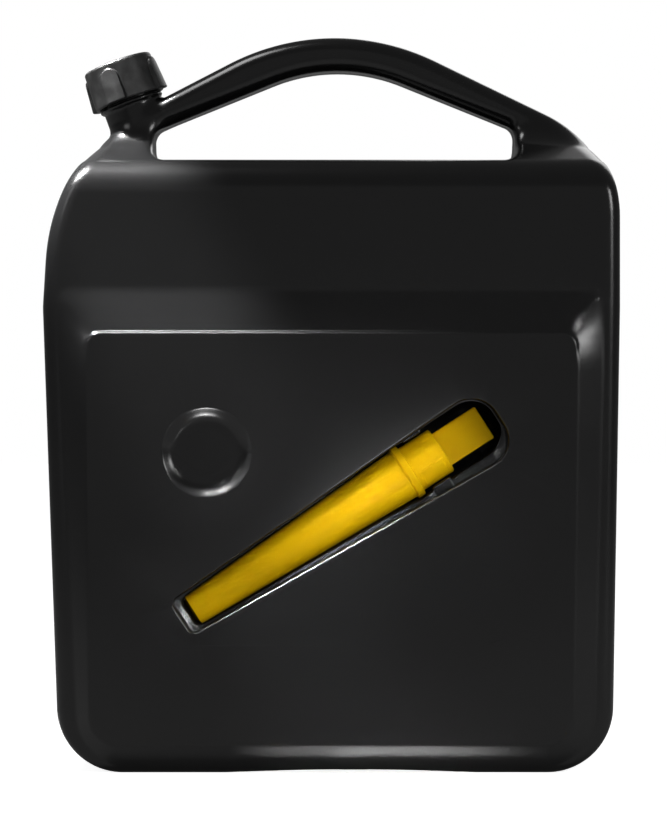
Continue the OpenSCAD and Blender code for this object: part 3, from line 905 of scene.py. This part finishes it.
    def build(self, dresser: Dresser, nodes: Sequence[str]) -> None:
        """Nets the skin, opens its flat panels, fills them round pocket and recess, and dresses it.

        Args:
            dresser: Who dresses the piece.
            nodes: The CAD nodes of the can.
        """
        points, quads = surface_net(self.distance, self.lines())
        face = self.half_d + self.rise
        x0, z0, x1, z1 = self.panel_hole
        parts = MeshParts()
        flat = (points[:, 0] > x0) & (points[:, 0] < x1) & (points[:, 2] > z0) & (points[:, 2] < z1)
        near = 0.5
        front = (flat & (points[:, 1] < near - face))[quads].all(1)
        back = (flat & (points[:, 1] > face - near))[quads].all(1)
        parts.add(points, quads[~(front | back)])
        pocket, dish = self.pocket(), self.dish()
        holes = [(parts.grid(pocket), pocket[0]), (parts.grid(dish), dish[0])]
        outlines = [self.pocket_outline().distance, self.dish_distance]
        self.fill(parts, points, quads[front], holes, outlines)
        self.fill(parts, points, quads[back], [], [])
        parts.compact()
        dresser.dress(parts.mesh("can_skin"), Slot.CAN, "can", nodes)

    def dish_distance(self, x: Array, z: Array) -> Array:
        """Distance to the recess's rim, with its fillet."""
        return np.hypot(x - self.dish_at[0], z - self.dish_at[1]) - self.dish_rim

    def fill(
        self,
        parts: MeshParts,
        points: Array,
        opened: Array,
        holes: list[tuple[int, Array]],
        outlines: list[Callable[[Array, Array], Array]],
    ) -> None:
        """Fills an opened flat panel with triangles between its border and the rims of the holes.

        Args:
            parts: Where the triangles go.
            points: The net's vertices, which are the first in parts.
            opened: The quads that were left out.
            holes: The first vertex and the rim of each hole.
            outlines: Distance to each hole's outline.
        """
        edges = np.sort(np.stack([opened, np.roll(opened, -1, 1)], -1).reshape(-1, 2), 1)
        once, count = np.unique(edges, axis=0, return_counts=True)
        border = once[count == 1]
        numbers = np.unique(border)
        place = {int(n): i for i, n in enumerate(numbers)}
        flat = [tuple(p) for p in points[numbers][:, [0, 2]]]
        lines = [(place[int(a)], place[int(b)]) for a, b in border]
        names = [int(n) for n in numbers]
        for first, rim in holes:
            start, n = len(flat), len(rim)
            flat += [tuple(p) for p in rim[:, [0, 2]]]
            lines += [(start + i, start + (i + 1) % n) for i in range(n)]
            names += list(range(first, first + n))
        clear, same = 0.3, 1e-6
        made = delaunay_2d_cdt([Vector(p) for p in flat], lines, [], 0, same, True)
        spots, faces, source = np.array([tuple(v) for v in made[0]]), made[2], made[3]
        name = [names[s[0]] for s in source]
        for face in faces:
            centre = spots[list(face)].mean(0)
            if all(float(o(centre[0], centre[1])) > clear for o in outlines):
                parts.faces.append([name[i] for i in face])


@dataclass
class Seams:
    """The line where the mould's halves met, and the bumps that hold the spout."""

    proud: float = 0.35
    half_w: float = 0.6
    sunk: float = 0.25
    lowest: float = 3.0
    line_r: float = 0.35
    line_path: tuple[tuple[float, float], ...] = (
        (-98.0, 82.6),
        (25.0, 82.6),
        (100.0, 83.6),
        (110.0, 86.2),
    )
    bump_inner: float = 16.9
    bump_sunk: float = 1.2
    bump_at: tuple[float, float] = (-5.0, 178.75)
    bump_half: tuple[float, float] = (5.0, 7.0)
    bump_power: float = 0.35
    bump_reach: tuple[float, float] = (19.3, 23.8)

    def ridge(self, outline: Outline, side: float) -> Array:
        """A thin rounded ridge along an outline in the middle plane, sunk where it is below lowest."""
        p, n = outline.loop(24, 4.0)
        rise = np.where(p[:, 1] < self.lowest, -1.0, self.proud) * side
        t = np.linspace(-1, 1, 7)
        height = np.sqrt(1.02 - t**2)[:, None] * rise[None] - self.sunk * side
        x = p[None, :, 0] + n[None, :, 0] * height
        z = p[None, :, 1] + n[None, :, 1] * height
        return np.stack([x, t[:, None] * self.half_w + 0 * x, z], -1)

    def build(self, dresser: Dresser, can: CanBody) -> None:
        """Makes the ridges round the can and in the grip hole."""
        for name, outline, side in (("seam_outside", can.outline, 1.0), ("seam_grip", can.grip, -1.0)):
            dresser.dress(grid_piece(name, self.ridge(outline, side), closed=True), Slot.CAN, "can")

    def line(self, dresser: Dresser, can: CanBody) -> None:
        """Makes the faint line under the pocket and its short tick, as low rounded threads."""
        path = np.array(self.line_path)
        t = full_turn(8)
        face = -(can.half_d + can.rise) + 0.02
        for name, part in (("line_long", path[:2]), ("line_tick", path[2:])):
            way = unit(part[1] - part[0])
            ends = part[0] + (part[1] - part[0]) * np.linspace(0, 1, 24)[:, None]
            wide = self.line_r * np.sin(np.linspace(0, np.pi, 24)).clip(0.05) ** 0.3
            x = ends[:, 0, None] - way[1] * wide[:, None] * np.cos(t)
            z = ends[:, 1, None] + way[0] * wide[:, None] * np.cos(t)
            y = face - 0.25 * wide[:, None] * np.sin(t)
            dresser.dress(grid_piece(name, np.stack([x, y, z], -1)), Slot.CAN, "can")

    def power(self, a: Array) -> Array:
        """The bump's power of numbers, which keeps their sign."""
        return np.sign(a) * np.abs(a) ** self.bump_power

    def bump(self, side: float, reach: float) -> Array:
        """A rounded block in the spout's frame, as a superellipsoid.

        Each coordinate is a power of the sines and cosines that give a ball.

        Args:
            side: 1 below the spout and -1 above it.
            reach: Where the pocket's wall stands beside the bump.

        Returns:
            Points, row by column by 3.
        """
        u = np.linspace(-np.pi / 2, np.pi / 2, 25)[:, None]
        v = full_turn(48)[None]
        x = self.power(np.cos(u)) * self.power(np.cos(v))
        y = self.power(np.cos(u)) * self.power(np.sin(v))
        z = self.power(np.sin(u)) + 0 * v
        low, high = self.bump_inner, reach + self.bump_sunk
        (y0, z0), (dy, dz) = self.bump_at, self.bump_half
        x = side * ((low + high) / 2 + x * (high - low) / 2)
        return np.stack([x, y0 + y * dy, z0 + z * dz], -1)

    def bumps(self, dresser: Dresser) -> None:
        """Makes the two bumps beside the spout's collar."""
        for name, side, reach in zip(("bump_high", "bump_low"), (-1.0, 1.0), self.bump_reach):
            piece = grid_piece(name, SPOUT_PLACE.world(self.bump(side, reach)))
            dresser.dress(piece, Slot.CAN, "can")


# ---------------------------------------------------------------- neck, cap and liner


@dataclass
class Neck:
    """The threaded end of the neck."""

    bore_r: float = 16.1
    root_r: float = 18.3
    crest: float = 1.15
    low: float = -2.0
    top: float = 22.4
    pitch: float = 6.0
    turns: float = 1.9
    start: float = 5.0
    tooth: tuple[float, float] = (1.5, 0.8)
    lip: tuple[float, float] = (1.0, 0.8)

    def build(self, dresser: Dresser) -> None:
        """A turned wall with a helical ridge outside: a soft tooth round start + pitch * turn."""
        out, within = self.lip
        t = full_turn(180)
        h = np.linspace(self.low, self.top - out, 110)[:, None]
        ridge = 0 * h * t
        for lap in range(3):
            turn = t / (2 * np.pi) + lap
            off = np.abs(h - self.start - self.pitch * turn)
            fade = smooth(turn * 6) * smooth((self.turns - turn) * 6)
            ridge = np.maximum(ridge, smooth((self.tooth[0] - off) / self.tooth[1]) * fade)
        outer = self.root_r + self.crest * ridge
        side = np.stack([outer * np.cos(t), outer * np.sin(t), h + 0 * t], -1)
        turn = quarter(6)
        top = [(self.root_r - out + out * np.cos(a), self.top - out + out * np.sin(a)) for a in turn]
        r, z = self.bore_r + within, self.top - within
        inner = [(r - within * np.sin(a), z + within * np.cos(a)) for a in turn]
        inner += [(self.bore_r, z) for z in np.linspace(self.top - 2, self.low, 6)]
        rest = revolve(np.array(top + inner), len(t))
        wall = NECK_PLACE.world(np.concatenate([side, rest]))
        dresser.dress(grid_piece("neck_finish", wall, closed=True, sharp=60), Slot.CAN, "can")


@dataclass
class Cap:
    """The screw cap with its arch-topped lugs."""

    radius: float = 23.75
    height: float = 26.4
    draft: float = 0.6
    edge: float = 2.0
    wall: float = 2.6
    top: float = 2.4
    lugs: int = 4
    lug_w: float = 12.5
    lug_low: float = 2.8
    lug_high: float = 1.2
    lug_drop: float = 4.0
    lug_soft: float = 1.0
    turned: float = 18.0
    foot_in: float = 0.6
    foot_rise: float = 0.7
    dent: float = 0.6
    corner: float = 0.8

    def lug(self, turn: Array, h: Array) -> Array:
        """Radial height of the lugs: an upright slot shape with a round top, with soft edges."""
        step = 2 * np.pi / self.lugs
        first = -np.pi / 2 - math.radians(self.turned)
        w = ((turn - first + step / 2) % step - step / 2) * self.radius
        knee = self.height - self.lug_drop - self.lug_w / 2
        off = np.where(h < knee, np.abs(w), np.hypot(w, h - knee)) - self.lug_w / 2
        proud = self.lug_low + (self.lug_high - self.lug_low) * h / self.height
        return proud * smooth((self.lug_soft / 2 - off) / self.lug_soft)

    def build(self, dresser: Dresser) -> None:
        """The outside rows carry the lugs; the inside rows turn plainly and close the shell."""
        t = full_turn(640)
        h = np.concatenate([[0.0, 0.25, 0.6], np.linspace(1.0, self.height - self.edge, 64)])[:, None]
        foot = -self.foot_in * (1 - smooth(h / self.foot_rise))
        base = self.radius - self.draft * h / self.height + foot
        outer = base + self.lug(t, h) * np.where(h < 0.1, 0.8, 1.0)
        side = np.stack([outer * np.cos(t), outer * np.sin(t), h + 0 * t], -1)
        r = self.radius - self.draft
        e, high, flat = self.edge, self.height, self.height - self.dent
        top = [(r + e * (np.cos(a) - 1), high + e * (np.sin(a) - 1)) for a in quarter(8)[1:]]
        top += [(r - e - 1.2, high), (r - e - 1.8, high - 0.5), (r - e - 3.0, flat)]
        top += [(8.0, flat), (0.01, flat)]
        over = revolve(np.array(top), len(t))
        bore, lid = self.radius - self.wall, self.height - self.top
        near, c = bore - self.draft, self.corner
        under = [(0.01, lid), (12.0, lid), (near - c, lid), (near, lid - c)]
        down = np.linspace(0.1, 1, 8)
        under += [(near + self.draft * s, lid - c - (lid - 1.3) * s) for s in down]
        under += [(bore + 0.4, 0.0)]
        inner = revolve(np.array(under), len(t))
        ring = np.stack([inner[-1], side[0]])
        grids = [NECK_PLACE.world(g) for g in (np.concatenate([side, over]), inner, ring)]
        dresser.dress(grid_piece("cap_shell", *grids, sharp=50), Slot.CAP, "cap", ["cap"])


@dataclass
class Liner:
    """The sealing disc in the cap."""

    radius: float = 20.35
    low: float = 22.45
    thick: float = 1.5
    edge: float = 0.35
    pressed: float = 0.12

    def build(self, dresser: Dresser) -> None:
        """A turned disc with soft edges and the ring that the neck has pressed into it."""
        e, low, top, up = self.edge, self.low, self.low + self.thick, self.low + self.pressed
        turn = quarter(5)
        profile = [(0.01, low), (15.6, low), (16.2, up), (18.2, up), (18.8, low)]
        profile += [(self.radius - e + e * np.sin(a), low + e - e * np.cos(a)) for a in turn]
        profile += [(self.radius - e + e * np.cos(a), top - e + e * np.sin(a)) for a in turn]
        profile += [(0.01, top)]
        disc = NECK_PLACE.world(revolve(np.array(profile), 128))
        dresser.dress(grid_piece("seal_disc", disc), Slot.LINER, "liner", ["cap_liner"])


# ---------------------------------------------------------------- the spout


@dataclass
class Spout:
    """The pouring spout: cone, flange, collar with pads, and tongue."""

    tip_r: float = 10.15
    cone_r: float = 16.9
    cone_l: float = 162.0
    flange_r: float = 18.4
    flange_t: float = 5.0
    plug_r: float = 15.8
    plug_l: float = 23.5
    wall: float = 2.1
    tip_bore_l: float = 14.0
    tongue_w: float = 24.0
    tongue_l: float = 33.5
    tongue_t: float = 3.0
    pad_w: float = 12.0
    pad_l: float = 18.0
    pad_out: float = 0.8
    pad_turn: float = 35.0
    pad_sunk: float = 0.25
    pad_soft: tuple[float, float] = (0.14, 0.1)
    tongue_edge: float = 0.9
    web_edge: float = 0.5
    web_corner: float = 0.6

    def shell(self) -> Array:
        """The turned shell, its corners rounded: tip, outside, collar and back through the bore."""
        a, b, c = self.cone_l, self.cone_l + self.flange_t, self.cone_l + self.flange_t + self.plug_l
        bore, tip = self.plug_r - self.wall, self.tip_r - self.wall
        corners = (
            (tip, 0.0, 0.5), (self.tip_r, 0.0, 0.7), (self.cone_r, a, 1.6), (self.flange_r, a, 0.8),
            (self.flange_r, b, 0.8), (self.plug_r, b, 0.7), (self.plug_r, c, 1.0), (bore, c, 0.7),
            (bore, a, 6.0), (tip, self.tip_bore_l, 6.0),
        )  # fmt: skip
        points, _ = Outline(corners).loop(6, 9.0)
        return revolve(points, 144)

    def slab(self, outline: Outline, half: float, edge: float) -> MeshParts:
        """A flat plate with round edges: rows moved in by edge (1 - cos t) and up by edge sin t.

        Args:
            outline: The plate's outline, across and along the spout.
            half: Half its thickness.
            edge: Radius of its edges.

        Returns:
            The plate's sides and its two caps.
        """
        p, n = outline.loop(8, 3.0)
        t = quarter(6)
        inward = np.concatenate([edge * (1 - np.sin(t)), edge * (1 - np.cos(t[1:]))])
        y = np.concatenate([-half + edge * (1 - np.cos(t)), half - edge + edge * np.sin(t[1:])])
        ring = p[None] - n[None] * inward[:, None, None]
        rows = np.stack([ring[..., 0], y[:, None] + 0 * ring[..., 0], ring[..., 1]], -1)
        parts = MeshParts()
        parts.grid(SPOUT_PLACE.world(rows))
        m = len(p)
        parts.faces.append(list(range(m)))
        parts.faces.append(list(range((len(rows) - 1) * m, len(rows) * m)))
        return parts

    def pad(self, turned: float) -> Array:
        """A patch of the collar, raised by pad_out with soft edges, on a grid of turn by length."""
        middle = self.cone_l + self.flange_t + self.plug_l / 2
        u, v = np.meshgrid(np.linspace(-1, 1, 31), np.linspace(-1, 1, 31))
        soft_u, soft_v = self.pad_soft
        soft = smooth((1 - np.abs(u)) / soft_u) * smooth((1 - np.abs(v)) / soft_v)
        half = math.asin(self.pad_w / 2 / self.plug_r)
        t = -np.pi / 2 + math.radians(turned) + u * half
        r = self.plug_r - self.pad_sunk + (self.pad_out + self.pad_sunk) * soft
        return np.stack([r * np.cos(t), r * np.sin(t), middle + v * self.pad_l / 2], -1)

    def build(self, dresser: Dresser) -> None:
        """Makes the shell, tongue, web and pads."""
        cone = grid_piece("spout_shell", SPOUT_PLACE.world(self.shell()), closed=True, sharp=60)
        dresser.dress(cone, Slot.SPOUT, "spout", ["spout"])
        end = self.cone_l + self.flange_t + self.plug_l
        w, low, high = self.tongue_w / 2, end - self.plug_l / 2, end + self.tongue_l
        plate = Outline(((-w, low, 1.5), (w, low, 1.5), (w, high, 1.4), (-w, high, 1.4)))
        b, c, back = self.plug_r - self.wall + 0.2, self.web_corner, end - 0.4
        web = Outline(((-b, low, c), (b, low, c), (b, back, c), (-b, back, c)))
        slabs = (("spout_tongue", plate, self.tongue_edge), ("spout_web", web, self.web_edge))
        for name, outline, edge in slabs:
            piece = self.slab(outline, self.tongue_t / 2, edge).mesh(name, sharp=60)
            dresser.dress(piece, Slot.SPOUT, "spout")
        for name, turned in (("front", self.pad_turn), ("back", self.pad_turn + 180)):
            patch = SPOUT_PLACE.world(self.pad(turned))
            dresser.dress(grid_piece(f"spout_pad_{name}", patch, around=False), Slot.SPOUT, "spout")


# ---------------------------------------------------------------- the set


@dataclass(frozen=True)
class Lamp:
    """A rectangular area lamp, in metres, watts and degrees."""

    name: str
    at: tuple[float, float, float]
    towards: tuple[float, float, float]
    size: tuple[float, float]
    watts: float
    spread: float = 180.0


@dataclass
class Studio:
    """Camera, lamps, floor and world."""

    camera_at: tuple[float, float, float] = (0.00133, -2.2, 0.2338)
    view_height: float = 0.545
    view_at: float = 2.2
    picture: tuple[int, int] = (667, 819)
    sensor: float = 24.0
    clip: tuple[float, float] = (0.01, 50.0)
    floor_half: float = 12.0
    floor_white: float = 0.8
    floor_own: float = 0.92
    world_dim: float = 0.14
    lamps: tuple[Lamp, ...] = (
        Lamp("key", (-0.75, -0.25, 2.0), (-0.2, 0, 0.3), (0.75, 0.55), 11),
        Lamp("front", (0, -3.6, 0.4), (0, 0, 0.25), (3.6, 3.0), 3.4),
        Lamp("front_left", (-1.5, -1.25, 1.15), (0, 0, 0.22), (0.5, 0.5), 2),
        Lamp("front_right", (1.55, -1.3, 0.75), (0, 0, 0.22), (0.5, 0.5), 8),
        Lamp("panel_edge", (-0.18, -0.33, 0.98), (-0.13, -0.083, 0.284), (0.44, 0.03), 0.035, 5),
        Lamp("shoulder", (-0.45, -0.1, 1.0), (-0.155, -0.06, 0.388), (0.1, 0.1), 0.6, 5),
        Lamp("spout", (1.05, -1.65, 1.0), (0.04, -0.07, 0.20), (0.08, 0.08), 0.018, 8),
        Lamp("pocket_high", (-0.52, -1.68, 1.02), (0.02, -0.07, 0.18), (0.07, 0.07), 0.009, 5),
        Lamp("pocket_low", (0.15, -0.60, 0.01), (0.02, -0.07, 0.18), (0.10, 0.10), 0.012, 20),
        Lamp("pocket_tip", (0.52, -1.72, 0.50), (-0.094, -0.075, 0.10), (0.06, 0.06), 0.003, 3),
        Lamp("back", (0.9, 2.6, 1.6), (0, 0, 0.2), (1.6, 1.2), 9),
        Lamp("recess", (-0.08, -0.215, 0.01), (-0.08, -0.08, 0.235), (0.25, 0.04), 0.033, 30),
    )

    def camera(self) -> None:
        """A level camera whose picture is view_height tall at view_at."""
        data = bpy.data.cameras.new("camera")
        data.sensor_fit = "VERTICAL"
        data.sensor_height = self.sensor
        data.sensor_width = self.sensor * self.picture[0] / self.picture[1]
        data.lens = data.sensor_height * self.view_at / self.view_height
        data.clip_start, data.clip_end = self.clip
        obj = bpy.data.objects.new("camera", data)
        obj.location = self.camera_at
        obj.rotation_euler = (math.pi / 2, 0, 0)
        bpy.context.scene.collection.objects.link(obj)
        bpy.context.scene.camera = obj

    def lamp(self, lamp: Lamp) -> None:
        """Hangs one lamp, hidden from the camera."""
        data = bpy.data.lights.new(lamp.name, "AREA")
        data.shape = "RECTANGLE"
        data.size, data.size_y = lamp.size
        data.energy = lamp.watts
        data.spread = math.radians(lamp.spread)
        obj = bpy.data.objects.new(lamp.name, data)
        obj.location = lamp.at
        way = Vector(lamp.towards) - Vector(lamp.at)
        obj.rotation_euler = way.to_track_quat("-Z", "Y").to_euler()
        obj.visible_camera = False
        bpy.context.scene.collection.objects.link(obj)

    def floor(self) -> None:
        """A white floor that keeps the shadow: part lit, and part its own light for camera rays."""
        mesh = bpy.data.meshes.new("floor")
        s = self.floor_half
        mesh.from_pydata([(-s, -s, 0), (s, -s, 0), (s, s, 0), (-s, s, 0)], [], [(0, 1, 2, 3)])
        obj = bpy.data.objects.new("floor", mesh)
        bpy.context.scene.collection.objects.link(obj)
        made = bpy.data.materials.new("floor_white")
        made.use_nodes = True
        g = Graph(made.node_tree)
        ray = g.out(g.node("ShaderNodeLightPath"), "Is Camera Ray")
        lit = g.node("ShaderNodeBsdfDiffuse", None, Color=(*[self.floor_white] * 3, 1))
        own = g.node("ShaderNodeEmission", None, Color=(1, 1, 1, 1), Strength=self.floor_own)
        both = g.node("ShaderNodeAddShader", None, _0=g.out(lit), _1=g.out(own))
        mixed = g.node("ShaderNodeMixShader", None, _0=ray, _1=g.out(lit), _2=g.out(both))
        g.node("ShaderNodeOutputMaterial", None, Surface=g.out(mixed))
        mesh.materials.append(made)

    def world(self) -> None:
        """White for camera rays and dim grey for the rest."""
        world = bpy.data.worlds.new("world")
        bpy.context.scene.world = world
        world.use_nodes = True
        g = Graph(world.node_tree)
        ray = g.out(g.node("ShaderNodeLightPath"), "Is Camera Ray")
        dim = g.node("ShaderNodeBackground", None, Color=(1, 1, 1, 1), Strength=self.world_dim)
        white = g.node("ShaderNodeBackground", None, Color=(1, 1, 1, 1), Strength=1.0)
        mixed = g.node("ShaderNodeMixShader", None, _0=ray, _1=g.out(dim), _2=g.out(white))
        g.node("ShaderNodeOutputWorld", None, Surface=g.out(mixed))

    def build(self) -> None:
        """Sets up the whole studio."""
        bpy.context.scene.view_settings.view_transform = "Standard"
        self.camera()
        for lamp in self.lamps:
            self.lamp(lamp)
        self.floor()
        self.world()


def main() -> None:
    """Builds the studio and the pieces in order."""
    logging.basicConfig(level=logging.INFO, format="%(name)s: %(message)s")
    Studio().build()
    order = (CAN_FINISH, CAP_FINISH, LINER_FINISH, SPOUT_FINISH)
    dresser = Dresser({slot: finish.material() for slot, finish in zip(Slot, order)})
    can = CanBody()
    can.build(dresser, frame["record"]["behaviour"]["bodies"]["can"])
    seams = Seams()
    seams.build(dresser, can)
    seams.bumps(dresser)
    seams.line(dresser, can)
    Neck().build(dresser)
    Cap().build(dresser)
    Liner().build(dresser)
    Spout().build(dresser)


if __name__ == "__main__":
    main()
